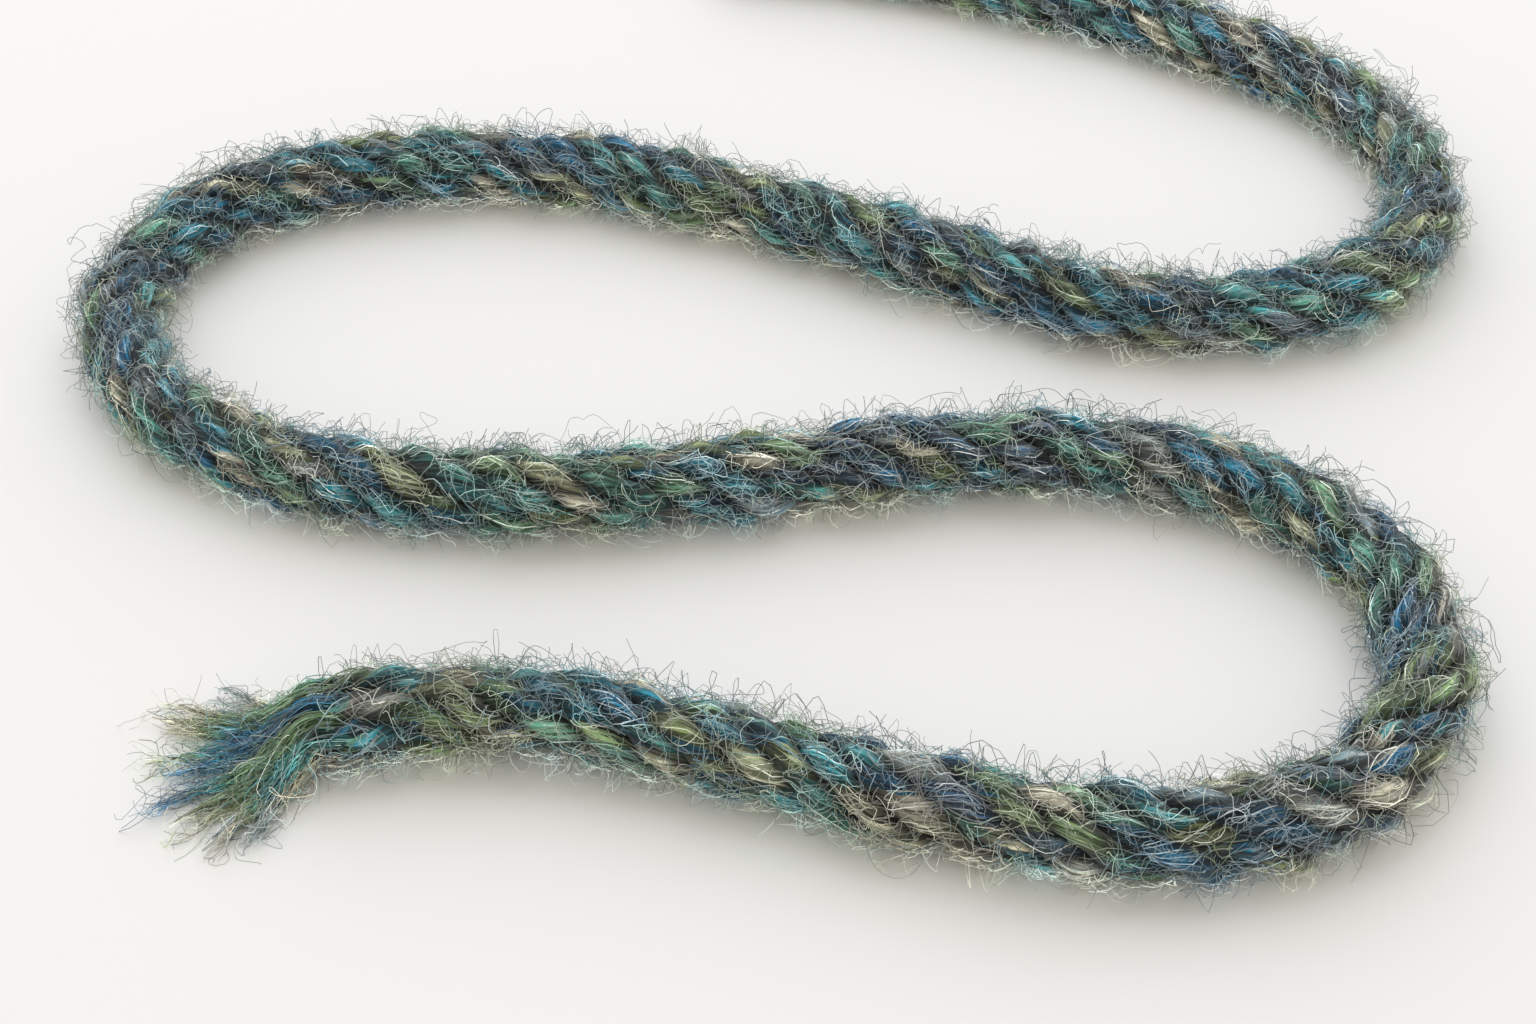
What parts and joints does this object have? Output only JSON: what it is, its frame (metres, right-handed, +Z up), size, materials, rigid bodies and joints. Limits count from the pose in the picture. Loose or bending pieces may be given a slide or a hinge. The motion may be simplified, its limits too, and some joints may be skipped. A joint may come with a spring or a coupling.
{
  "type": "heathered wool yarn",
  "caption": "Cut length of thick twisted wool yarn in heathered blue, teal and green, lying in wide S-bends with a frayed end.",
  "frame": {"origin": "centre of the bounding box on the surface the yarn lies on", "axes": "+Z up from the surface, +Y away from the frayed end towards the square-cut end, +X to the right seen from the frayed end's side"},
  "size_m": [0.0897, 0.0929, 0.0046],
  "materials": {
    "wool": "matte twisted wool, heathered in navy, blue, teal, green, olive and cream",
    "loose_wool": "matte loose wool fibres of the same heathered colours"
  },
  "bodies": {
    "root": {"yarn": "wool", "frayed_end": "loose_wool"}
  },
  "joints": []
}
